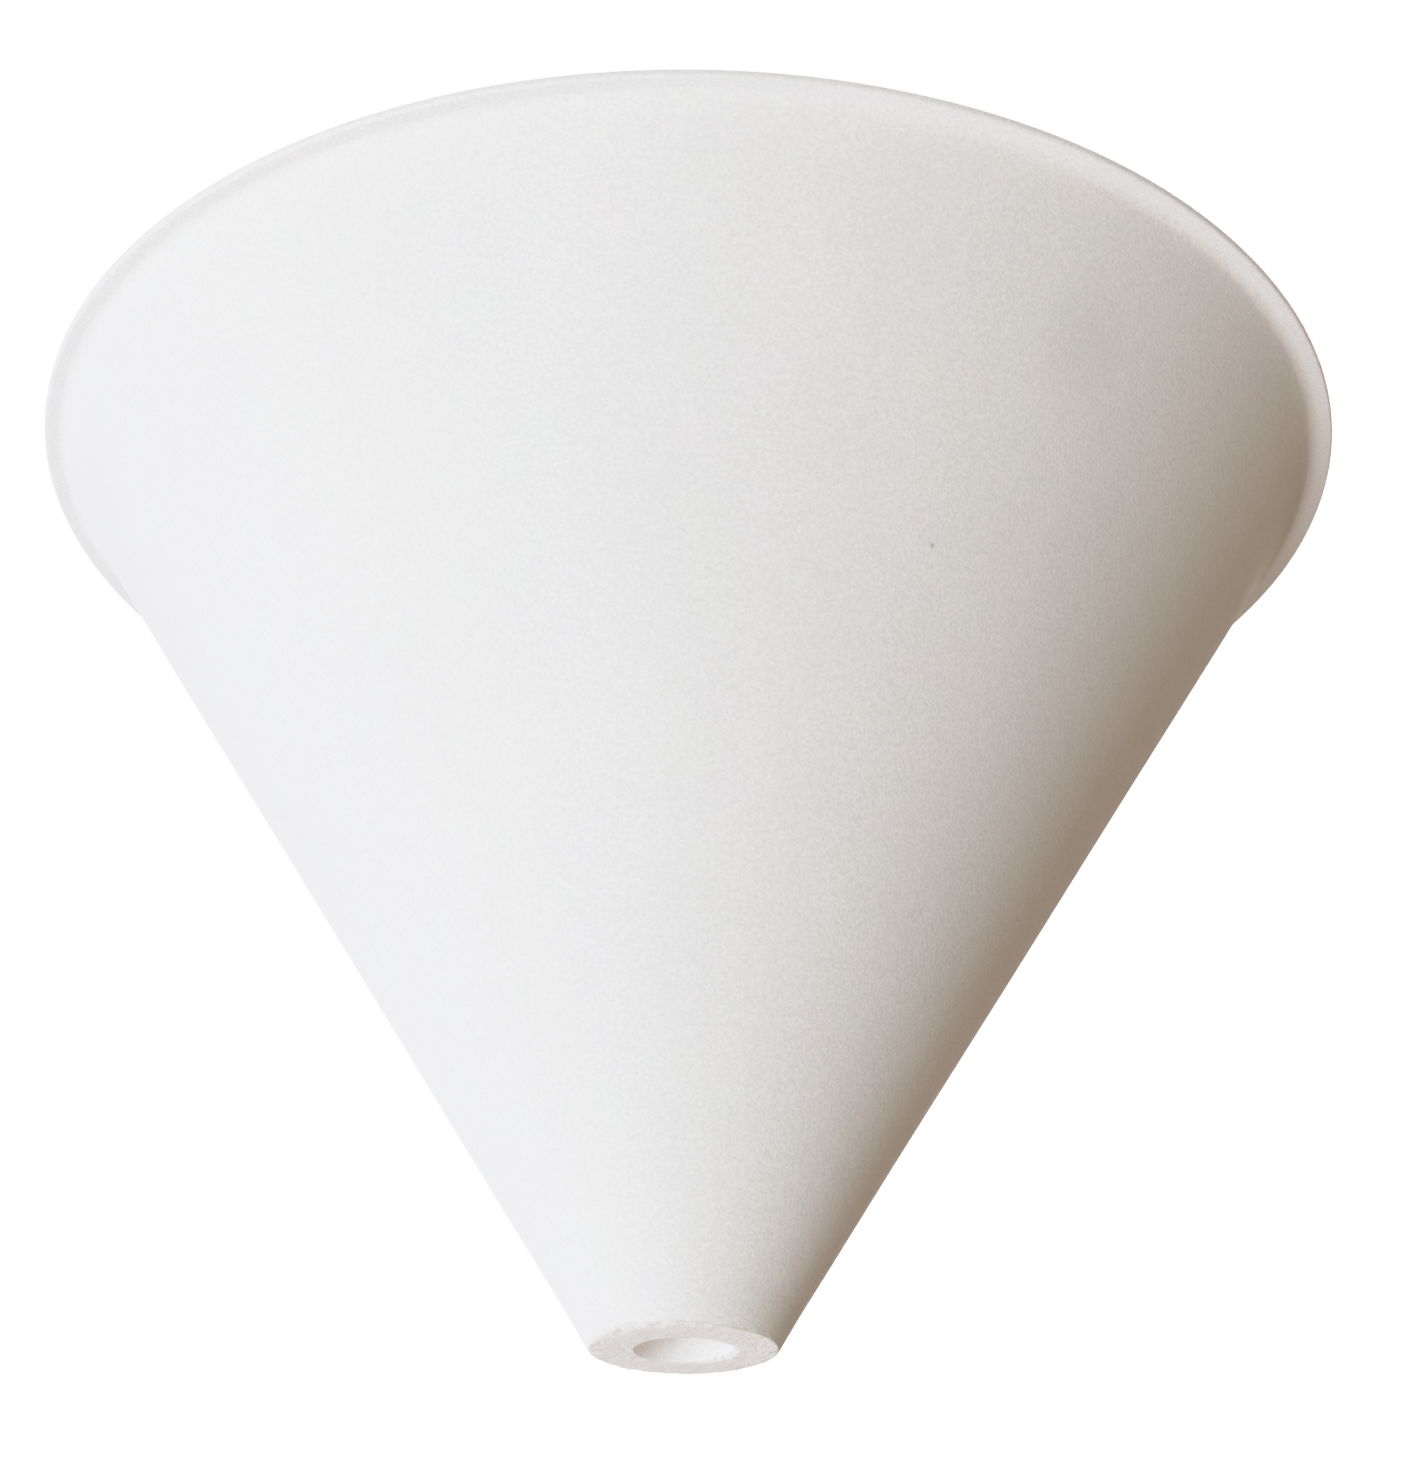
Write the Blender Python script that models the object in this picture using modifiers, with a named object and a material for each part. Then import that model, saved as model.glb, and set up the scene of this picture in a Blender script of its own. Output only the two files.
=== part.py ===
"""Conical suction filter funnel: a thin-lipped moulded cone with a thick bored tip, and inside it a seal ring,
a loose perforated plate and a disc of filter paper that lift out one after another.

Metres, +Z up. The origin is the centre of the tip's outlet face, and +Z runs along the funnel's axis to the rim.
"""

import math

import bmesh
import bpy
from mathutils import Matrix, Vector

MM = 0.001

# Funnel body
RIM_RADIUS = 60.0 * MM          # outside of the lip
HEIGHT = 82.7 * MM              # outlet face to the top of the lip
HALF_ANGLE = math.radians(31.57)  # outer side of the cone, from its axis
LIP_THICKNESS = 0.8 * MM
LIP_FILLET = 1.4 * MM           # hollow corner between the lip's underside and the cone
TIP_RADIUS = 7.8 * MM           # outside of the outlet face
BORE_RADIUS = 4.0 * MM
BORE_LENGTH = 3.0 * MM          # straight stretch before the bore opens into the cone
WALL_AT_RIM = 1.6 * MM
LEDGE_HEIGHT = 36.0 * MM        # top of the moulded step that carries the seal ring
LEDGE_RADIUS = 23.5 * MM

# Pieces that lie in the funnel
GAP = 0.3 * MM                  # left between pieces that rest on each other
SEAL_THICKNESS = 2.0 * MM
PLATE_THICKNESS = 3.5 * MM
PLATE_EDGE_BEVEL = 0.4 * MM
HOLE_RADIUS = 1.1 * MM
HOLE_PITCH = 4.4 * MM           # from one ring of holes to the next
HOLE_RINGS = 5                  # around the middle hole, with six more holes in each ring
PAPER_RADIUS = 27.5 * MM        # a standard 55 mm disc
PAPER_THICKNESS = 0.25 * MM

ROUND_STEPS = 96
HOLE_SIDES = 8
MERGE_DISTANCE = 0.00001
SMOOTH_ANGLE = math.radians(30)

INNER_RIM_RADIUS = TIP_RADIUS + HEIGHT * math.tan(HALF_ANGLE) - WALL_AT_RIM / math.cos(HALF_ANGLE)
INNER_SLOPE = (INNER_RIM_RADIUS - BORE_RADIUS) / (HEIGHT - BORE_LENGTH)
WALL_CLEARANCE = GAP * math.hypot(1.0, INNER_SLOPE)   # the gap, measured level instead of square to the wall

SEAL_BOTTOM = LEDGE_HEIGHT + GAP
PLATE_BOTTOM = SEAL_BOTTOM + SEAL_THICKNESS + GAP
PAPER_BOTTOM = PLATE_BOTTOM + PLATE_THICKNESS + GAP


def outer_radius(height):
    """Radius of the cone's outer side at a height above the outlet face."""
    return TIP_RADIUS + height * math.tan(HALF_ANGLE)


def inner_radius(height):
    """Radius of the cone's inner side at a height above the outlet face."""
    return BORE_RADIUS + (height - BORE_LENGTH) * INNER_SLOPE


def fitted_radius(height):
    """Radius of a loose piece's edge where it follows the cone's inner side with the gap."""
    return inner_radius(height) - WALL_CLEARANCE


def rounded(corners):
    """Turns a closed outline of (radius, height, fillet, arc steps) corners into points, each corner an arc."""
    points = []
    for index, (radius, height, fillet, steps) in enumerate(corners):
        corner = Vector((radius, height, 0.0))
        to_last = (Vector((*corners[index - 1][:2], 0.0)) - corner).normalized()
        to_next = (Vector((*corners[(index + 1) % len(corners)][:2], 0.0)) - corner).normalized()
        if not fillet:
            points.append(corner)
            continue
        half = to_last.angle(to_next) / 2
        tangent = fillet / math.tan(half)
        centre = corner + (to_last + to_next).normalized() * fillet / math.sin(half)
        first = (corner + to_last * tangent - centre).normalized()
        last = (corner + to_next * tangent - centre).normalized()
        points += [centre + first.slerp(last, step / steps) * fillet for step in range(steps + 1)]
    return points


def make_material(name, colour, roughness):
    """A Principled BSDF of one plain colour."""
    material = bpy.data.materials.new(name)
    material.use_nodes = True
    shader = material.node_tree.nodes["Principled BSDF"]
    shader.inputs["Base Color"].default_value = (*colour, 1.0)
    shader.inputs["Roughness"].default_value = roughness
    shader.inputs["Metallic"].default_value = 0.0
    return material


def finish_piece(piece, collection, material):
    """Puts a piece in its collection with its material, shaded smooth between its sharp edges."""
    for owner in list(piece.users_collection):
        owner.objects.unlink(piece)
    collection.objects.link(piece)
    piece.data.materials.append(material)
    piece.data.shade_smooth()
    piece.data.set_sharp_from_angle(angle=SMOOTH_ANGLE)
    return piece


def turned(name, corners, base, collection, material):
    """A piece turned about Z from a closed outline, whose heights count from its base."""
    mesh = bpy.data.meshes.new(name)
    outline = bmesh.new()
    points = [outline.verts.new((point.x, 0.0, point.y)) for point in rounded(corners)]
    for point, following in zip(points, points[1:] + points[:1]):
        outline.edges.new((point, following))
    outline.to_mesh(mesh)
    outline.free()
    piece = bpy.data.objects.new(name, mesh)
    piece.location.z = base
    screw = piece.modifiers.new("turn", "SCREW")
    screw.axis = "Z"
    screw.angle = math.tau
    screw.steps = ROUND_STEPS
    screw.render_steps = ROUND_STEPS
    screw.use_merge_vertices = True
    screw.merge_threshold = MERGE_DISTANCE
    screw.use_smooth_shade = True
    collection.objects.link(piece)
    return finish_piece(piece, collection, material)


def make_funnel_body(collection, material):
    """The cone with its lip, ledge and bored tip. The outline runs down the outside and up the inside."""
    lip_underside = HEIGHT - LIP_THICKNESS
    ledge_foot = BORE_LENGTH + (LEDGE_RADIUS - BORE_RADIUS) / INNER_SLOPE
    corners = [
        (RIM_RADIUS, HEIGHT, 0.25 * MM, 2),
        (RIM_RADIUS, lip_underside, 0.25 * MM, 2),
        (outer_radius(lip_underside), lip_underside, LIP_FILLET, 5),
        (TIP_RADIUS, 0.0, 0.25 * MM, 2),
        (BORE_RADIUS, 0.0, 0.25 * MM, 2),
        (BORE_RADIUS, BORE_LENGTH, 4.0 * MM, 3),
        (LEDGE_RADIUS, ledge_foot, 1.0 * MM, 2),
        (LEDGE_RADIUS, LEDGE_HEIGHT, 0.3 * MM, 2),
        (inner_radius(LEDGE_HEIGHT), LEDGE_HEIGHT, 0.0, 0),
        (INNER_RIM_RADIUS, HEIGHT, 1.0 * MM, 3),
    ]
    return turned("funnel_body", corners, 0.0, collection, material)


def make_seal_ring(collection, material):
    """The flat elastomer ring on the ledge, its outer edge sloped like the cone."""
    lead_in = 0.3 * MM
    corners = [
        (fitted_radius(SEAL_BOTTOM + SEAL_THICKNESS), SEAL_THICKNESS, lead_in, 1),
        (fitted_radius(SEAL_BOTTOM), 0.0, lead_in, 1),
        (LEDGE_RADIUS + GAP, 0.0, lead_in, 1),
        (LEDGE_RADIUS + GAP, SEAL_THICKNESS, lead_in, 1),
    ]
    return turned("seal_ring", corners, SEAL_BOTTOM, collection, material)


def hole_centres():
    """Centres of the plate's holes: one in the middle, and rings of 6, 12, 18 and so on around it."""
    centres = [(0.0, 0.0)]
    for ring in range(1, HOLE_RINGS + 1):
        count = 6 * ring
        for index in range(count):
            turn = math.tau * index / count
            centres.append((ring * HOLE_PITCH * math.cos(turn), ring * HOLE_PITCH * math.sin(turn)))
    return centres


def make_hole_cutter(collection):
    """All the plate's drill holes as one cutting body, reaching past both its faces."""
    mesh = bpy.data.meshes.new("plate_hole_cutter")
    drills = bmesh.new()
    for x, y in hole_centres():
        bmesh.ops.create_cone(
            drills,
            cap_ends=True,
            segments=HOLE_SIDES,
            radius1=HOLE_RADIUS,
            radius2=HOLE_RADIUS,
            depth=PLATE_THICKNESS * 2,
            matrix=Matrix.Translation((x, y, 0.0)),
        )
    drills.to_mesh(mesh)
    drills.free()
    cutter = bpy.data.objects.new("plate_hole_cutter", mesh)
    cutter.location.z = PLATE_BOTTOM + PLATE_THICKNESS / 2
    cutter.hide_render = True
    cutter.display_type = "WIRE"
    collection.objects.link(cutter)
    return cutter


def make_filter_plate(collection, material, cutter):
    """The loose perforated plate, its edge sloped like the cone so that it centres itself."""
    bpy.ops.mesh.primitive_cone_add(
        vertices=ROUND_STEPS,
        radius1=fitted_radius(PLATE_BOTTOM),
        radius2=fitted_radius(PLATE_BOTTOM + PLATE_THICKNESS),
        depth=PLATE_THICKNESS,
        location=(0.0, 0.0, PLATE_BOTTOM + PLATE_THICKNESS / 2),
    )
    plate = bpy.context.object
    plate.name = "filter_plate"
    bevel = plate.modifiers.new("edge", "BEVEL")
    bevel.width = PLATE_EDGE_BEVEL
    bevel.segments = 2
    bevel.limit_method = "ANGLE"
    bevel.angle_limit = SMOOTH_ANGLE
    holes = plate.modifiers.new("holes", "BOOLEAN")
    holes.operation = "DIFFERENCE"
    holes.solver = "EXACT"
    holes.object = cutter
    return finish_piece(plate, collection, material)


def make_filter_paper(collection, material):
    """The disc of filter paper that covers every hole of the plate."""
    bpy.ops.mesh.primitive_cylinder_add(
        vertices=ROUND_STEPS,
        radius=PAPER_RADIUS,
        depth=PAPER_THICKNESS,
        location=(0.0, 0.0, PAPER_BOTTOM + PAPER_THICKNESS / 2),
    )
    paper = bpy.context.object
    paper.name = "filter_paper"
    return finish_piece(paper, collection, material)


def stack(pieces):
    """Parents each piece to the one it lies on, so that lifting one lifts what it carries."""
    bpy.context.view_layer.update()
    for carrier, piece in zip(pieces, pieces[1:]):
        piece.parent = carrier
        piece.matrix_parent_inverse = carrier.matrix_world.inverted()


def main():
    for old in list(bpy.data.objects):
        bpy.data.objects.remove(old)
    model = bpy.data.collections.new("filter_funnel")
    cutters = bpy.data.collections.new("cutters")
    bpy.context.scene.collection.children.link(model)
    bpy.context.scene.collection.children.link(cutters)

    white_plastic = make_material("white_plastic", (0.85, 0.85, 0.83), 0.5)
    plate_plastic = make_material("plate_plastic", (0.82, 0.82, 0.80), 0.45)
    seal_rubber = make_material("seal_rubber", (0.30, 0.30, 0.31), 0.6)
    filter_stock = make_material("filter_stock", (0.88, 0.87, 0.83), 0.95)

    body = make_funnel_body(model, white_plastic)
    seal = make_seal_ring(model, seal_rubber)
    plate = make_filter_plate(model, plate_plastic, make_hole_cutter(cutters))
    paper = make_filter_paper(model, filter_stock)
    stack([body, seal, plate, paper])


main()
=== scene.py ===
"""Looks of the conical filter funnel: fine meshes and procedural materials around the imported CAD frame.

Metres, +Z up. The funnel's axis is Z, the outlet face lies at height 0 and the mouth opens upwards.
"""

import math

import bmesh
import bpy
from mathutils import Matrix, Vector, noise


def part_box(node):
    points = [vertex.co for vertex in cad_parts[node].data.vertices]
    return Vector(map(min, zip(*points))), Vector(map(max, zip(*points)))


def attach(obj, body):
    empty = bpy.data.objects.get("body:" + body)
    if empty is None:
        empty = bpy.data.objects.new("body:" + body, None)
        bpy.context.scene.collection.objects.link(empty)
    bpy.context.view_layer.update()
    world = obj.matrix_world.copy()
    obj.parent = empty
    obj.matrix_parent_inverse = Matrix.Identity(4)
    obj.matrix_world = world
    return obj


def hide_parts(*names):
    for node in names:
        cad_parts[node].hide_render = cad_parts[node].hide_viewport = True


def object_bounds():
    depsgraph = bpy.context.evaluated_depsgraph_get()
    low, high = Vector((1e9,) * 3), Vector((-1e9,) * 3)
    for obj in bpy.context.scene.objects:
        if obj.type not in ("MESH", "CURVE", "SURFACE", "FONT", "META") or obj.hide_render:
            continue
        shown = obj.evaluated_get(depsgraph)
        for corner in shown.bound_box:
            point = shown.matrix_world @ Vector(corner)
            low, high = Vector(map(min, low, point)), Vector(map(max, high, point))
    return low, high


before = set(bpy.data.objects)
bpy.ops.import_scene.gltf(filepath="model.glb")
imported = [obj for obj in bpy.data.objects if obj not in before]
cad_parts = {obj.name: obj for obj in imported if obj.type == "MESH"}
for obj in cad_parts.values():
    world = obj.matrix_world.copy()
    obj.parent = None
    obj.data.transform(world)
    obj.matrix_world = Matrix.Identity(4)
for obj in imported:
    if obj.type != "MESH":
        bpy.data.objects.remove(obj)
cad_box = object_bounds()

MM = 0.001
UP = Vector((0.0, 0.0, 1.0))
TURN_STEPS = 360
SHARP_ANGLE = math.radians(35)

# Camera: in front of the axis and below the outlet face, looking up
CAMERA_DISTANCE = 231.9 * MM
CAMERA_DROP = 67.7 * MM
CAMERA_TILT = math.radians(28.16)
CAMERA_PAN = math.radians(0.354)
CAMERA_ROLL = math.radians(0.180)
CAMERA_LENS = 70.69
SENSOR_WIDTH = 36.0

# Funnel body, where the frame's box doesn't give it
LIP_THICKNESS = 0.8 * MM
LIP_FILLET = 1.4 * MM
HALF_ANGLE = math.radians(31.57)
TIP_RADIUS = 7.8 * MM
BORE_RADIUS = 4.0 * MM
BORE_LENGTH = 3.0 * MM
WALL_AT_RIM = 1.6 * MM
LEDGE_WIDTH = 2.5 * MM
PIECE_GAP = 0.3 * MM         # between pieces that rest on each other

# How the moulding strays from its true shape
WAVINESS = 0.07 * MM         # slow in-and-out of the whole wall
WAVES_FROM = 8.0 * MM        # height where the waviness is full, from nothing at the cut
CUT_SLANT = 0.43 * MM        # how far the cut runs down from the back to the front
SLANT_REACH = 3.0 * MM       # how far up the tip it pulls the shape along
CUT_DEPTH = 0.9 * MM         # how far up the cone, and in from its edge, the torn cut of the tip reaches
ON_FACE = 0.05 * MM          # how near the cut face, or the bore's wall, still counts as on it
COARSE_ROUGHNESS = 0.035 * MM   # of the cut face
FINE_ROUGHNESS = 0.03 * MM
TEAR = 0.32 * MM             # deepest chip out of the cut's outer edge
TORN_AT = math.radians(-128)
TORN_SPREAD = math.radians(42)
BROKEN = 0.5 * MM            # widest stretch of the bore's edge that has broken away
BROKEN_AT = math.radians(28)
BROKEN_SPREAD = math.radians(46)

# Marks on the cone: height, azimuth and size
SPECK = (54.4 * MM, math.radians(-62), 0.34 * MM)
# a patch of the cone's outer side whose colour is made a darker, greener grey
DARK_PATCH = (71.8 * MM, math.radians(-52), 7.0 * MM)

# Loose pieces
SEAL_SPACING = 0.5 * MM      # between points of the seal's outline
SEAL_RIPPLE = 0.03 * MM
SEAL_FILLET = 0.35 * MM
FLASH_WIDTH = 0.2 * MM       # the moulding line inside the seal
FLASH_HEIGHT = 0.09 * MM
PLATE_FILLET = 0.45 * MM
PAPER_SPACING = 0.9 * MM     # between rings of the paper's points
PAPER_FILLET = 0.07 * MM
PAPER_COCKLE = 0.16 * MM
PAPER_FUZZ = 0.0022          # unevenness of its cut edge, as a share of its radius
HOLE_RADIUS = 1.1 * MM
HOLE_PITCH = 4.4 * MM
HOLE_RINGS = 5
HOLE_SIDES = 24
COUNTERSINK = 0.3 * MM
CUTTER_RINGS = 0.35 * MM     # from one turning mark on the plate to the next

# Colours
PLASTIC_SHADES = (0.878, 0.869, 0.862), (0.897, 0.888, 0.876)
GREEN_TINGE = (0.872, 0.889, 0.852)
PINK_TINGE = (0.904, 0.870, 0.882)
DIRT = (0.33, 0.31, 0.28)
PATCH_GREY = (0.52, 0.54, 0.50)
CUT_SHADES = (0.762, 0.732, 0.698), (0.800, 0.779, 0.747)
CUT_FIBRE = (0.816, 0.801, 0.769)
PLATE_SHADES = (0.78, 0.78, 0.765), (0.83, 0.825, 0.81)
RUBBER_SHADES = (0.20, 0.205, 0.215), (0.30, 0.30, 0.305)
PAPER_SHADES = (0.79, 0.775, 0.735), (0.87, 0.865, 0.84)
PAPER_FIBRE = (0.93, 0.925, 0.90)
FLOOR_SHADES = (0.86, 0.86, 0.86), (0.90, 0.90, 0.895)

# Stage
FLOOR_DEPTH = 1.4            # below the outlet face, under the lights
STAGE_RADIUS = 4.0
WORLD_COLOUR = (1.00, 0.75, 0.60)
WORLD_STRENGTH = 0.1
WALL_GLOW = 0.0006           # watts
WALL_GLOW_PLACE = (4.0 * MM, -2.5 * MM, 9.0 * MM)

# The film's bright end: scene brightness, and what it comes out as
SHOULDER = ((0.34, 0.68), (0.40, 0.77), (0.48, 0.85), (0.60, 0.91))

# name: azimuth about the axis, elevation, distance, width, height, power in watts, colour
LIGHTS = {
    "key_left": (-182, -18, 1.3, 0.7, 0.6, 2.47, (0.72, 0.76, 1.0)),
    "key_front_left": (-118, -18, 1.3, 0.7, 0.6, 5.54, (0.77, 0.88, 1.0)),
    "key_front": (-75, -18, 1.3, 0.7, 0.6, 0.51, (1.0, 0.73, 0.02)),
    "low_left": (-160, -50, 1.3, 0.6, 0.6, 3.92, (0.88, 0.93, 1.0)),
    "low_front_left": (-115, -50, 1.3, 0.6, 0.6, 0.69, (0.89, 1.0, 0.98)),
    "back_fill": (80, 5, 1.3, 0.9, 0.9, 1.18, (1.0, 0.76, 0.78)),
    "back_key": (98, 18, 1.3, 1.0, 0.8, 2.4, (1.0, 1.0, 0.98)),
    "side_key": (58, 44, 1.3, 0.9, 0.8, 6.0, (1.0, 1.0, 1.0)),
    "rim_light": (-25, 56, 1.3, 0.6, 0.5, 0.5, (1.0, 0.9, 0.88)),
    "top_fill": (0, 90, 1.0, 0.7, 0.7, 1.8, (1.0, 1.0, 1.0)),
    "under_light": (-110, -75, 1.3, 0.6, 0.6, 0.3, (1.0, 0.28, 0.0)),
}


# ---------------------------------------------------------------- mesh helpers

def arc_corner(last, corner, following, fillet, steps):
    """Points of an arc of that fillet radius in place of an outline's corner, all (radius, height)."""
    corner = Vector(corner)
    to_last = (Vector(last) - corner).normalized()
    to_next = (Vector(following) - corner).normalized()
    half = to_last.angle(to_next) / 2
    centre = corner + (to_last + to_next).normalized() * fillet / math.sin(half)
    tangent = fillet / math.tan(half)
    start = corner + to_last * tangent - centre
    end = corner + to_next * tangent - centre
    turn = start.angle_signed(end)
    return [centre + Matrix.Rotation(-turn * i / steps, 2) @ start for i in range(steps + 1)]


def rounded_corners(corners):
    """A closed outline of (radius, height, fillet, steps) corners as points, with an arc per fillet."""
    points = []
    for index, (radius, height, fillet, steps) in enumerate(corners):
        last = corners[index - 1][:2]
        following = corners[(index + 1) % len(corners)][:2]
        if fillet:
            points += arc_corner(last, (radius, height), following, fillet, steps)
        else:
            points.append(Vector((radius, height)))
    return points


def divided(points, spacing):
    """A closed outline with its long straight runs divided, as finely as either end's height asks for."""
    fine = []
    for point, following in zip(points, points[1:] + points[:1]):
        finest = min(spacing(point.y), spacing(following.y))
        parts = max(1, round((following - point).length / finest))
        fine += [point.lerp(following, i / parts) for i in range(parts)]
    return fine


def outline_points(corners, spacing):
    return divided(rounded_corners(corners), spacing)


def turned(name, points, steps=TURN_STEPS, shift=None, mark=None, solid=False):
    """A shape turned about Z from (radius, height) points: a ring, or a solid that starts on the axis.

    shift moves each vertex a little. mark gives each true place a value, kept as the attribute "mark".
    """
    shape = bmesh.new()
    layer = shape.verts.layers.float.new("mark")
    rings = []
    for step in range(steps):
        turn = math.tau * step / steps
        ring = []
        for radius, height in points:
            spot = Vector((radius * math.cos(turn), radius * math.sin(turn), height))
            vertex = shape.verts.new(shift(spot) if shift else spot)
            vertex[layer] = mark(spot) if mark else 0.0
            ring.append(vertex)
        rings.append(ring)
    for ring, following in zip(rings, rings[1:] + rings[:1]):
        for index in range(1 if solid else 0, len(points)):
            low = index - 1
            shape.faces.new((ring[low], following[low], following[index], ring[index]))
    if solid:
        bmesh.ops.remove_doubles(shape, verts=shape.verts, dist=0.001 * MM)
    bmesh.ops.recalc_face_normals(shape, faces=shape.faces)
    return finish_mesh(name, shape)


def smooth(mesh):
    """Shades a mesh smooth between its sharp edges."""
    mesh.shade_smooth()
    mesh.set_sharp_from_angle(angle=SHARP_ANGLE)


def finish_mesh(name, shape):
    """Makes an object of a bmesh, shaded smooth between its sharp edges."""
    mesh = bpy.data.meshes.new(name)
    shape.to_mesh(mesh)
    shape.free()
    smooth(mesh)
    piece = bpy.data.objects.new(name, mesh)
    bpy.context.scene.collection.objects.link(piece)
    return piece


# ---------------------------------------------------------------- material helpers

class Nodes:
    """A node material in the making: add() places a node and wires its inputs."""

    def __init__(self, name):
        self.material = bpy.data.materials.new(name)
        self.material.use_nodes = True
        self.tree = self.material.node_tree
        self.tree.nodes.clear()
        self.shader = self.add("ShaderNodeBsdfPrincipled")
        output = self.add("ShaderNodeOutputMaterial")
        self.tree.links.new(self.shader.outputs[0], output.inputs["Surface"])
        self.place = self.add("ShaderNodeTexCoord").outputs["Object"]

    def add(self, kind, inputs=None, **settings):
        node = self.tree.nodes.new(kind)
        for key, value in settings.items():
            setattr(node, key, value)
        for key, value in (inputs or {}).items():
            self.feed(node.inputs[key], value)
        return node

    def feed(self, socket, value):
        if isinstance(value, bpy.types.NodeSocket):
            self.tree.links.new(value, socket)
        else:
            socket.default_value = value

    def noise(self, scale, detail=3.0, roughness=0.55, place=None):
        """Noise whose features repeat about scale times a metre."""
        inputs = {"Vector": place or self.place, "Scale": scale, "Detail": detail, "Roughness": roughness}
        return self.add("ShaderNodeTexNoise", inputs).outputs["Fac"]

    def spread(self, value, low, high, to_low, to_high):
        """Maps a value from one range to another, clamped and eased."""
        inputs = {"Value": value, "From Min": low, "From Max": high, "To Min": to_low, "To Max": to_high}
        node = self.add("ShaderNodeMapRange", inputs, interpolation_type="SMOOTHSTEP")
        return node.outputs["Result"]

    def math(self, operation, *values):
        node = self.add("ShaderNodeMath", operation=operation)
        for index, value in enumerate(values):
            self.feed(node.inputs[index], value)
        return node.outputs[0]

    def blend(self, share, first, second):
        """Mixes two colours, or two colour outputs, by share."""
        node = self.add("ShaderNodeMix", data_type="RGBA")
        for index, value in ((0, share), (6, first), (7, second)):
            if isinstance(value, tuple) and len(value) == 3:
                value = (*value, 1.0)
            self.feed(node.inputs[index], value)
        return node.outputs[2]

    def scaled(self, colour, share):
        """A colour output, darkened to that share."""
        return self.add("ShaderNodeVectorMath", {0: colour, 3: share}, operation="SCALE").outputs[0]

    def bump(self, height, distance, strength=1.0, normal=None):
        inputs = {"Height": height, "Distance": distance, "Strength": strength}
        if normal is not None:
            inputs["Normal"] = normal
        return self.add("ShaderNodeBump", inputs).outputs["Normal"]

    def set(self, **inputs):
        """Feeds the Principled shader's inputs, named with _ for each space."""
        for key, value in inputs.items():
            if isinstance(value, tuple) and len(value) == 3 and "radius" not in key.lower():
                value = (*value, 1.0)
            self.feed(self.shader.inputs[key.replace("_", " ")], value)
        return self.material


def spot_mask(n, height, azimuth, size):
    """1 at a place on the cone's outer side, easing to 0 at that distance from it."""
    away = n.add("ShaderNodeVectorMath", {0: n.place, 1: on_cone(height, azimuth)}, operation="DISTANCE")
    return n.spread(away.outputs["Value"], 0.0, size, 1.0, 0.0)


def moulded_plastic():
    """Matte white moulded plastic: fine grain, faint clouding, specks, one darker grey patch on the cone,
    and the fibrous cut.
    """
    n = Nodes("moulded_white_plastic")
    cloud = n.noise(45.0, 4.0)
    tinge = n.noise(210.0, 3.0)
    grain = n.noise(3200.0, 3.0, 0.65)
    ripple = n.noise(520.0, 4.0)
    colour = n.blend(n.spread(cloud, 0.35, 0.65, 0.0, 1.0), *PLASTIC_SHADES)
    colour = n.blend(n.spread(tinge, 0.52, 0.72, 0.0, 0.5), colour, GREEN_TINGE)
    colour = n.blend(n.spread(tinge, 0.48, 0.28, 0.0, 0.5), colour, PINK_TINGE)
    colour = n.blend(n.spread(grain, 0.30, 0.70, 0.0, 1.0), colour, n.scaled(colour, 0.90))
    spot = n.add("ShaderNodeTexVoronoi", {"Vector": n.place, "Scale": 95.0}).outputs["Distance"]
    chosen = n.spread(n.noise(60.0, 1.0), 0.68, 0.72, 0.0, 1.0)
    dirt = n.math("MULTIPLY", n.spread(spot, 0.018, 0.032, 0.6, 0.0), chosen)
    dirt = n.math("MAXIMUM", dirt, n.math("MULTIPLY", spot_mask(n, *SPECK), 0.5))
    colour = n.blend(dirt, colour, DIRT)
    # darkens the colour of a patch of the cone's outer side towards a greener grey
    colour = n.blend(n.math("MULTIPLY", spot_mask(n, *DARK_PATCH), 0.16), colour, PATCH_GREY)
    fibre = n.spread(n.noise(1500.0, 5.0, 0.7), 0.3, 0.7, 0.0, 1.0)
    near_cut = n.add("ShaderNodeAttribute", attribute_name="mark").outputs["Fac"]
    cut = n.spread(n.math("ADD", near_cut, n.math("MULTIPLY", fibre, 0.35)), 0.55, 1.0, 0.0, 1.0)
    blotch = n.spread(n.noise(600.0, 3.0), 0.35, 0.65, 0.0, 1.0)
    cut_colour = n.blend(blotch, *CUT_SHADES)
    cut_colour = n.blend(n.math("MULTIPLY", fibre, 0.5), cut_colour, CUT_FIBRE)
    colour = n.blend(cut, colour, cut_colour)
    relief = n.math("ADD", n.math("MULTIPLY", grain, 0.5), n.math("MULTIPLY", ripple, 0.5))
    normal = n.bump(relief, 0.08 * MM)
    normal = n.bump(n.math("MULTIPLY", fibre, cut), 0.05 * MM, 1.0, normal)
    roughness = n.math("ADD", n.spread(ripple, 0.3, 0.7, 0.48, 0.58), n.math("MULTIPLY", cut, 0.25))
    return n.set(
        Base_Color=colour,
        Roughness=roughness,
        Diffuse_Roughness=0.8,
        Specular_IOR_Level=0.3,
        Subsurface_Weight=0.2,
        Subsurface_Radius=(1.0, 0.9, 0.8),
        Subsurface_Scale=1.2 * MM,
        Normal=normal,
    )


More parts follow.
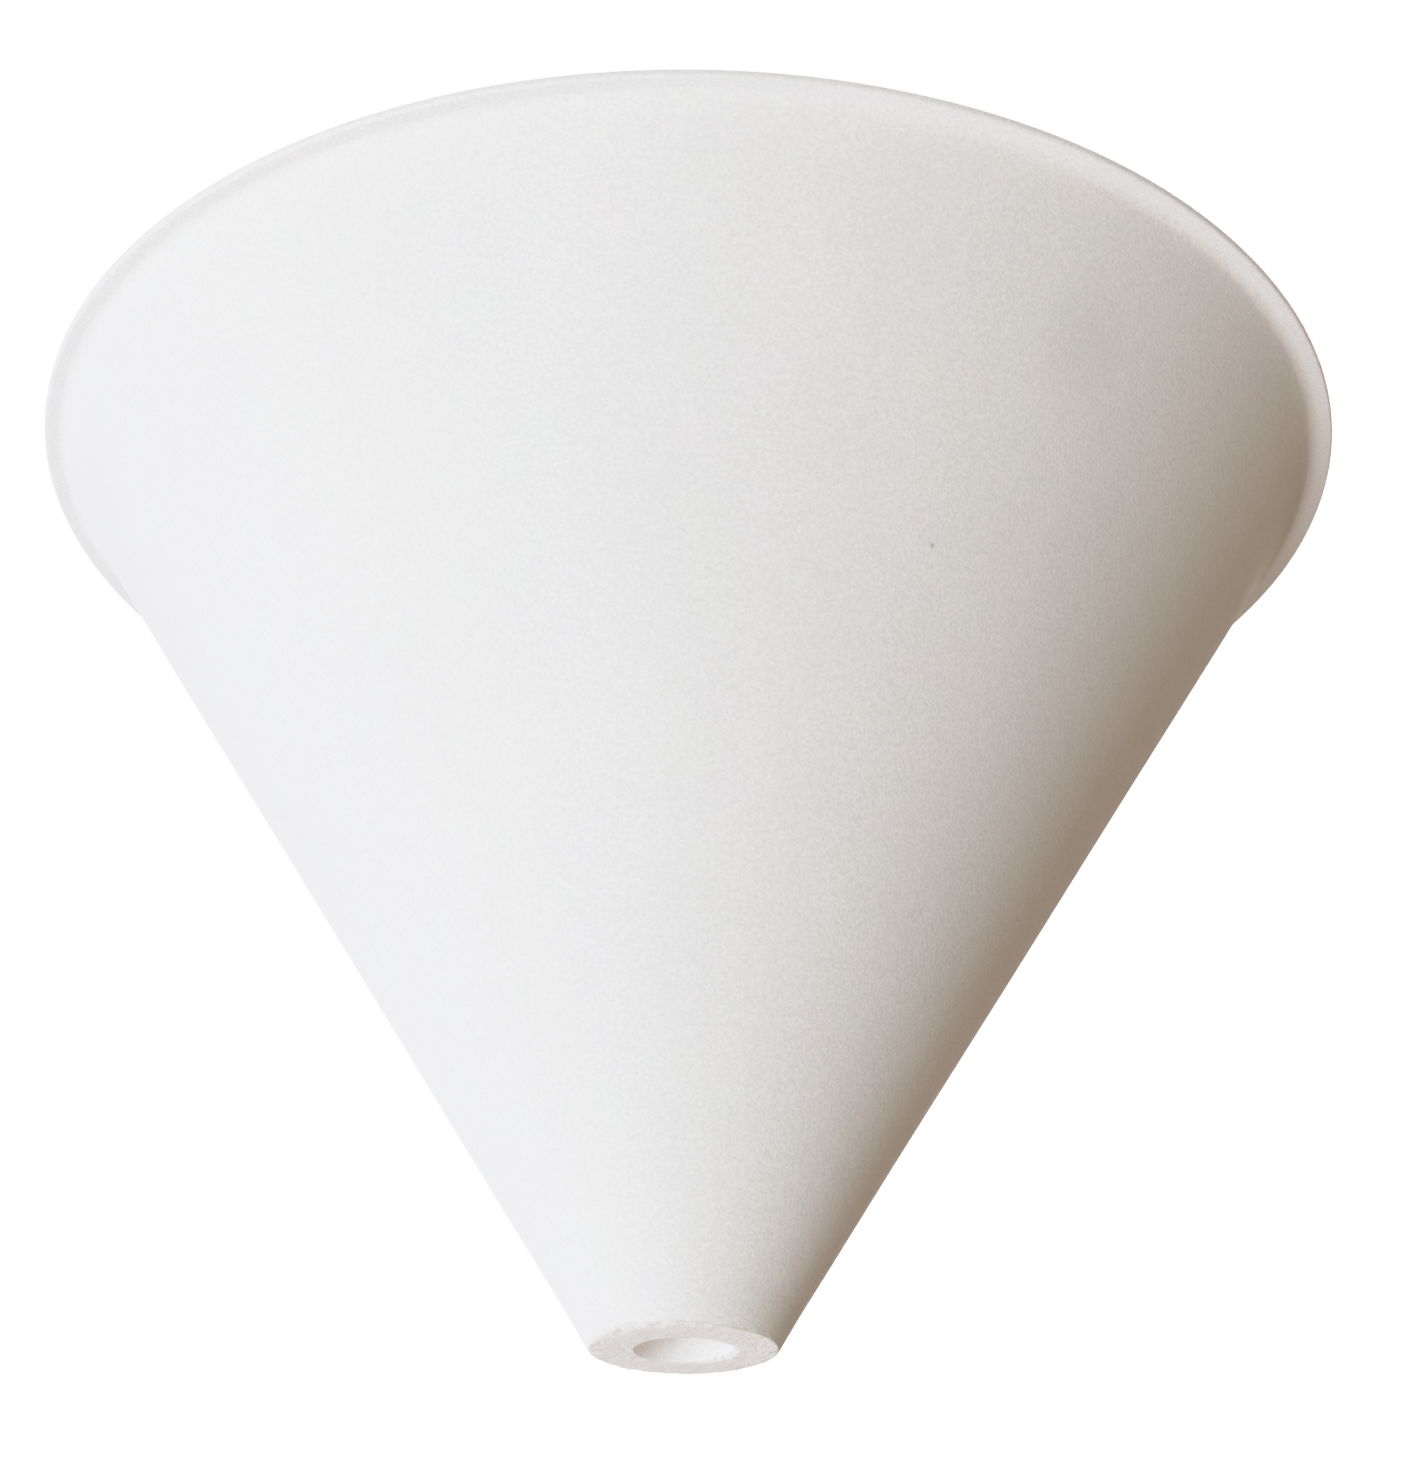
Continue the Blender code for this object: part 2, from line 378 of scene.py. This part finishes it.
def plate_plastic():
    """The plate's satin plastic: turning rings left by the mould's cutter, and a light scuffing."""
    n = Nodes("satin_plate_plastic")
    split = n.add("ShaderNodeSeparateXYZ", {"Vector": n.place})
    squares = [n.math("POWER", split.outputs[axis], 2.0) for axis in "XY"]
    radius = n.math("SQRT", n.math("ADD", *squares))
    rings = n.math("SINE", n.math("MULTIPLY", radius, math.tau / CUTTER_RINGS))
    scuff = n.noise(420.0, 6.0, 0.65)
    mottle = n.noise(70.0, 3.0)
    colour = n.blend(n.spread(mottle, 0.3, 0.7, 0.0, 1.0), *PLATE_SHADES)
    relief = n.math("ADD", n.math("MULTIPLY", rings, 0.12), scuff)
    return n.set(
        Base_Color=colour,
        Roughness=n.spread(scuff, 0.35, 0.65, 0.34, 0.52),
        Specular_IOR_Level=0.45,
        Subsurface_Weight=0.08,
        Subsurface_Scale=1.0 * MM,
        Normal=n.bump(relief, 0.02 * MM),
    )


def seal_rubber():
    """Dull grey silicone rubber with bloom and a fine orange-peel skin."""
    n = Nodes("grey_seal_rubber")
    bloom = n.noise(160.0, 5.0, 0.7)
    peel = n.noise(1800.0, 2.0)
    colour = n.blend(n.spread(bloom, 0.35, 0.7, 0.0, 1.0), *RUBBER_SHADES)
    return n.set(
        Base_Color=colour,
        Roughness=n.spread(bloom, 0.3, 0.7, 0.55, 0.78),
        Specular_IOR_Level=0.4,
        Sheen_Weight=0.15,
        Normal=n.bump(n.math("ADD", peel, n.math("MULTIPLY", bloom, 0.5)), 0.03 * MM),
    )


def filter_stock():
    """Filter paper: tangled fibres in its surface, cloudy formation and a soft matte face."""
    n = Nodes("filter_paper_stock")
    stretched = n.add("ShaderNodeMapping", {"Vector": n.place, "Scale": (1.0, 3.2, 1.0)}).outputs["Vector"]
    across = {"Vector": n.place, "Scale": (2.8, 1.0, 1.0), "Rotation": (0.0, 0.0, 0.7)}
    crossed = n.add("ShaderNodeMapping", across).outputs["Vector"]
    fibres = n.math("MAXIMUM", n.noise(900.0, 6.0, 0.75, stretched), n.noise(1000.0, 6.0, 0.75, crossed))
    cloud = n.noise(130.0, 4.0, 0.6)
    colour = n.blend(n.spread(cloud, 0.35, 0.65, 0.0, 1.0), *PAPER_SHADES)
    colour = n.blend(n.spread(fibres, 0.52, 0.68, 0.0, 0.6), colour, PAPER_FIBRE)
    return n.set(
        Base_Color=colour,
        Roughness=0.93,
        Specular_IOR_Level=0.2,
        Sheen_Weight=0.1,
        Normal=n.bump(n.math("ADD", fibres, n.math("MULTIPLY", cloud, 0.6)), 0.20 * MM),
    )


# ---------------------------------------------------------------- pieces

def body_sizes():
    """The funnel body's driving sizes, read from its box and the seal ring's place."""
    rim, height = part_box("funnel_body")[1].xz
    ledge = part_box("seal_ring")[0].z - PIECE_GAP
    inner_rim = TIP_RADIUS + height * math.tan(HALF_ANGLE) - WALL_AT_RIM / math.cos(HALF_ANGLE)
    inner_slope = (inner_rim - BORE_RADIUS) / (height - BORE_LENGTH)
    ledge_root = BORE_RADIUS + (ledge - BORE_LENGTH) * inner_slope
    return {
        "rim": rim,
        "height": height,
        "ledge": ledge,
        "inner_rim": inner_rim,
        "inner_slope": inner_slope,
        "ledge_root": ledge_root,
        "ledge_edge": ledge_root - LEDGE_WIDTH,
    }


def nearness(turn, middle, spread):
    """1 at an azimuth, falling to 0 away from it, over about spread to each side."""
    away = math.remainder(turn - middle, math.tau)
    return math.exp(-(away / spread) ** 2)


def on_cone(height, azimuth):
    """A place on the cone's outer side."""
    radius = TIP_RADIUS + height * math.tan(HALF_ANGLE)
    return Vector((radius * math.cos(azimuth), radius * math.sin(azimuth), height))


def stray(spot):
    """A shell vertex off its true place: the wall's slow waviness, and the slanted, torn cut of the tip."""
    radius = math.hypot(spot.x, spot.y)
    turn = math.atan2(spot.y, spot.x)
    outward = Vector((spot.x / radius, spot.y / radius, 0.0))
    moved = spot + outward * WAVINESS * noise.noise(spot * 38.0) * min(1.0, spot.z / WAVES_FROM)
    if spot.z < SLANT_REACH:
        frontward = (TIP_RADIUS - spot.y) / (2.0 * TIP_RADIUS)
        moved.z -= CUT_SLANT * frontward * (1.0 - spot.z / SLANT_REACH)
    cut = 1.0 - spot.z / CUT_DEPTH
    if cut <= 0.0:
        return moved
    coarse = noise.noise(spot * 900.0)
    fine = noise.noise(spot * 2400.0)
    outer_edge = max(0.0, 1.0 - abs(radius - TIP_RADIUS) / CUT_DEPTH) * cut
    torn = 0.22 + 0.78 * nearness(turn, TORN_AT, TORN_SPREAD)
    chip = max(0.0, 0.25 + 0.9 * coarse + 0.3 * fine) * torn * outer_edge * TEAR
    moved += (UP - outward * 0.5) * chip
    splinter = max(0.0, 0.75 + 0.9 * noise.noise(spot * 1500.0) + 0.4 * fine)
    broken = nearness(turn, BROKEN_AT, BROKEN_SPREAD) * splinter
    bore_edge = max(0.0, 1.0 - abs(radius - BORE_RADIUS) / BROKEN) * cut
    moved += (UP * 0.8 + outward * 0.1) * broken * bore_edge * BROKEN
    face = 1.0 if spot.z < ON_FACE else 0.0
    return moved + UP * face * (COARSE_ROUGHNESS * coarse + FINE_ROUGHNESS * fine)


def cut_face(spot):
    """1 on the tip's cut face, easing to 0 a little way up the cone, further up where the cut is torn."""
    radius = math.hypot(spot.x, spot.y)
    if radius < BORE_RADIUS + ON_FACE:
        return 0.0
    torn = nearness(math.atan2(spot.y, spot.x), TORN_AT, TORN_SPREAD)
    reach = (0.08 + 0.72 * torn) * MM
    return max(0.0, 1.0 - max(0.0, spot.z - ON_FACE) / reach)


def tip_spacing(height):
    """How far apart outline points are: close together at the torn cut, and wider apart up the cone."""
    return min(1.6 * MM, 0.15 * MM + 0.35 * height)


def make_shell():
    """The funnel body: the lip, cone and bored tip outside, and the ledge and cone inside.

    The two outline points on the straight side above the tip mark where its points come closer together.
    """
    size = body_sizes()
    height, rim, ledge = size["height"], size["rim"], size["ledge"]
    ledge_root, ledge_edge = size["ledge_root"], size["ledge_edge"]
    underside = height - LIP_THICKNESS
    slope = math.tan(HALF_ANGLE)
    ledge_foot = BORE_LENGTH + (ledge_edge - BORE_RADIUS) / size["inner_slope"]
    corners = [
        (rim, height, 0.3 * MM, 5),
        (rim, underside, 0.3 * MM, 5),
        (TIP_RADIUS + underside * slope, underside, LIP_FILLET, 12),
        (TIP_RADIUS + 3.0 * MM * slope, 3.0 * MM, 0.0, 0),
        (TIP_RADIUS + 1.0 * MM * slope, 1.0 * MM, 0.0, 0),
        (TIP_RADIUS, 0.0, 0.32 * MM, 5),
        (BORE_RADIUS, 0.0, 0.08 * MM, 3),
        (BORE_RADIUS, BORE_LENGTH, 4.0 * MM, 6),
        (ledge_edge, ledge_foot, 1.0 * MM, 4),
        (ledge_edge, ledge, 0.3 * MM, 4),
        (ledge_root, ledge, 0.2 * MM, 3),
        (size["inner_rim"], height, 0.8 * MM, 6),
    ]
    points = outline_points(corners, tip_spacing)
    shell = turned("funnel_shell", points, shift=stray, mark=cut_face)
    return stand_for(shell, moulded_plastic(), "funnel_body", "funnel")


def rippled(spot):
    """A place on the seal, lifted or lowered by the slight unevenness of soft rubber."""
    return spot + UP * SEAL_RIPPLE * noise.noise(spot * 90.0)


def make_seal():
    """The seal ring: soft corners, and a thin line of flash where its mould closed."""
    low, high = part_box("seal_ring")
    size = body_sizes()
    inner = size["ledge_edge"] + PIECE_GAP
    middle = (low.z + high.z) / 2
    corners = [
        (high.x, high.z, SEAL_FILLET, 4),
        (high.x - (high.z - low.z) * size["inner_slope"], low.z, SEAL_FILLET, 4),
        (inner, low.z, SEAL_FILLET, 4),
        (inner, middle - FLASH_WIDTH / 2, 0.0, 0),
        (inner - FLASH_HEIGHT, middle, 0.0, 0),
        (inner, middle + FLASH_WIDTH / 2, 0.0, 0),
        (inner, high.z, SEAL_FILLET, 4),
    ]
    points = outline_points(corners, lambda height: SEAL_SPACING)
    seal = turned("seal", points, shift=rippled)
    return stand_for(seal, seal_rubber(), "seal_ring", "seal")


def hole_places():
    """Centres of the plate's holes: one in the middle and rings of 6, 12, 18 and so on around it."""
    places = [(0.0, 0.0)]
    for ring in range(1, HOLE_RINGS + 1):
        for index in range(6 * ring):
            turn = math.tau * index / (6 * ring)
            places.append((ring * HOLE_PITCH * math.cos(turn), ring * HOLE_PITCH * math.sin(turn)))
    return places


def hole_cutter(low, high):
    """Every hole's drill and countersinks as one body, through heights low to high."""
    past = 0.5 * MM
    wide = HOLE_RADIUS + COUNTERSINK + past
    levels = [
        (low - past, wide),
        (low + COUNTERSINK, HOLE_RADIUS),
        (high - COUNTERSINK, HOLE_RADIUS),
        (high + past, wide),
    ]
    turns = [math.tau * side / HOLE_SIDES for side in range(HOLE_SIDES)]
    shape = bmesh.new()
    for x, y in hole_places():
        rings = []
        for height, radius in levels:
            spots = [(x + radius * math.cos(turn), y + radius * math.sin(turn), height) for turn in turns]
            rings.append([shape.verts.new(spot) for spot in spots])
        shape.faces.new(rings[0][::-1])
        shape.faces.new(rings[-1])
        for lower, upper in zip(rings, rings[1:]):
            for side in range(HOLE_SIDES):
                shape.faces.new((lower[side - 1], lower[side], upper[side], upper[side - 1]))
    return finish_mesh("hole_cutter", shape)


def make_plate():
    """The perforated plate, its round holes countersunk at both faces and its edge softened."""
    low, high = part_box("filter_plate")
    foot = high.x - (high.z - low.z) * body_sizes()["inner_slope"]
    corners = [
        (0.0, high.z, 0.0, 0),
        (high.x, high.z, PLATE_FILLET, 5),
        (foot, low.z, PLATE_FILLET, 5),
        (0.0, low.z, 0.0, 0),
    ]
    plate = turned("plate", rounded_corners(corners), solid=True)
    cutter = hole_cutter(low.z, high.z)
    cut = plate.modifiers.new("holes", "BOOLEAN")
    cut.object = cutter
    whole = bpy.data.meshes.new_from_object(plate.evaluated_get(bpy.context.evaluated_depsgraph_get()))
    plate.modifiers.clear()
    plate.data = whole
    smooth(whole)
    bpy.data.objects.remove(cutter)
    whole.materials.clear()
    return stand_for(plate, plate_plastic(), "filter_plate", "plate")


def cockled(spot):
    """A place on the paper, lifted or lowered by the paper's slow waves, its cut edge a little uneven."""
    flat = Vector((spot.x, spot.y, 0.0))
    wave = noise.noise(flat * 75.0) + 0.4 * noise.noise(flat * 190.0)
    fuzz = 1.0 + PAPER_FUZZ * noise.noise(flat * 1400.0)
    return Vector((spot.x * fuzz, spot.y * fuzz, spot.z + PAPER_COCKLE * wave))


def make_paper():
    """The disc of filter paper, lightly cockled."""
    low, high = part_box("filter_paper")
    corners = [
        (0.0, high.z, 0.0, 0),
        (high.x, high.z, PAPER_FILLET, 2),
        (high.x, low.z, PAPER_FILLET, 2),
        (0.0, low.z, 0.0, 0),
    ]
    points = divided(rounded_corners(corners), lambda height: PAPER_SPACING)[:-1]
    paper = turned("paper", points + [Vector((0.0, low.z))], shift=cockled, solid=True)
    return stand_for(paper, filter_stock(), "filter_paper", "paper")


def stand_for(piece, material, node, body):
    """Gives a piece its material and puts it in its CAD node's place."""
    piece.data.materials.append(material)
    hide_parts(node)
    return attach(piece, body)


# ---------------------------------------------------------------- stage

def make_stage():
    """A pale floor under the object, fading into a white surround. Both only show, and light nothing."""
    n = Nodes("pale_floor")
    tint = n.noise(3.0, 3.0)
    far = n.add("ShaderNodeVectorMath", {0: n.place}, operation="LENGTH").outputs["Value"]
    n.set(
        Base_Color=n.blend(tint, *FLOOR_SHADES),
        Roughness=0.8,
        Emission_Color=(1.0, 1.0, 1.0),
        Emission_Strength=n.spread(far, 0.3 * STAGE_RADIUS, STAGE_RADIUS, 0.32, 1.0),
    )
    bpy.ops.mesh.primitive_circle_add(vertices=96, radius=STAGE_RADIUS, fill_type="NGON",
                                      location=(0.0, 0.0, -FLOOR_DEPTH))
    floor = bpy.context.object
    floor.name = "floor"
    floor.data.materials.append(n.material)

    white = bpy.data.materials.new("white_surround")
    white.use_nodes = True
    white.node_tree.nodes.clear()
    glow = white.node_tree.nodes.new("ShaderNodeEmission")
    glow.inputs["Strength"].default_value = 1.0
    output = white.node_tree.nodes.new("ShaderNodeOutputMaterial")
    white.node_tree.links.new(glow.outputs[0], output.inputs["Surface"])
    bpy.ops.mesh.primitive_uv_sphere_add(segments=48, ring_count=24, radius=STAGE_RADIUS * 1.1)
    surround = bpy.context.object
    surround.name = "surround"
    surround.data.materials.append(white)
    for kind in ("diffuse", "glossy", "transmission", "volume_scatter", "shadow"):
        setattr(floor, "visible_" + kind, False)
        setattr(surround, "visible_" + kind, False)


def make_light(name, azimuth, elevation, distance, width, height, power, colour):
    """A soft rectangular light aimed at the middle of the funnel."""
    light = bpy.data.lights.new(name, "AREA")
    light.shape = "RECTANGLE"
    light.size, light.size_y = width, height
    light.energy = power
    light.color = colour
    lamp = bpy.data.objects.new(name, light)
    turn, lift = math.radians(azimuth), math.radians(elevation)
    back = Vector((math.cos(turn) * math.cos(lift), math.sin(turn) * math.cos(lift), math.sin(lift)))
    aim = Vector((0.0, 0.0, (cad_box[0].z + cad_box[1].z) / 2))
    lamp.location = aim + back * distance
    lamp.rotation_euler = back.to_track_quat("Z", "Y").to_euler()
    lamp.visible_camera = False
    bpy.context.scene.collection.objects.link(lamp)


def make_wall_glow():
    """A faint light low inside the cone, for the daylight that soaks through its wall into the bore."""
    glow = bpy.data.lights.new("wall_glow", "POINT")
    glow.energy = WALL_GLOW
    glow.color = (1.0, 0.95, 0.94)
    glow.shadow_soft_size = 2.0 * MM
    lamp = bpy.data.objects.new("wall_glow", glow)
    lamp.location = WALL_GLOW_PLACE
    lamp.visible_camera = False
    bpy.context.scene.collection.objects.link(lamp)


def make_lights():
    for name, settings in LIGHTS.items():
        make_light(name, *settings)
    make_wall_glow()
    world = bpy.data.worlds.new("studio")
    world.use_nodes = True
    background = world.node_tree.nodes["Background"]
    background.inputs["Color"].default_value = (*WORLD_COLOUR, 1.0)
    background.inputs["Strength"].default_value = WORLD_STRENGTH
    bpy.context.scene.world = world


def make_camera():
    """The camera in front of and below the funnel, looking up at it."""
    camera = bpy.data.cameras.new("camera")
    camera.lens = CAMERA_LENS
    camera.sensor_width = SENSOR_WIDTH
    camera.clip_start = 0.01
    camera.clip_end = 50.0
    rig = bpy.data.objects.new("camera", camera)
    turn = (Matrix.Rotation(-CAMERA_PAN, 4, "Z")
            @ Matrix.Rotation(math.pi / 2 + CAMERA_TILT, 4, "X")
            @ Matrix.Rotation(CAMERA_ROLL, 4, "Z"))
    rig.matrix_world = Matrix.Translation((0.0, -CAMERA_DISTANCE, -CAMERA_DROP)) @ turn
    bpy.context.scene.collection.objects.link(rig)
    bpy.context.scene.camera = rig


def make_film_response():
    """Plain colours, with the bright end eased off as a camera does, and pure white kept white."""
    settings = bpy.context.scene.view_settings
    settings.view_transform = "Standard"
    settings.use_curve_mapping = True
    curves = settings.curve_mapping
    curves.extend = "HORIZONTAL"
    master = curves.curves[3]
    for place, level in SHOULDER:
        master.points.new(place, level)
    for point in master.points:
        point.handle_type = "VECTOR"
    curves.update()


make_shell()
make_seal()
make_plate()
make_paper()
make_stage()
make_lights()
make_camera()
make_film_response()
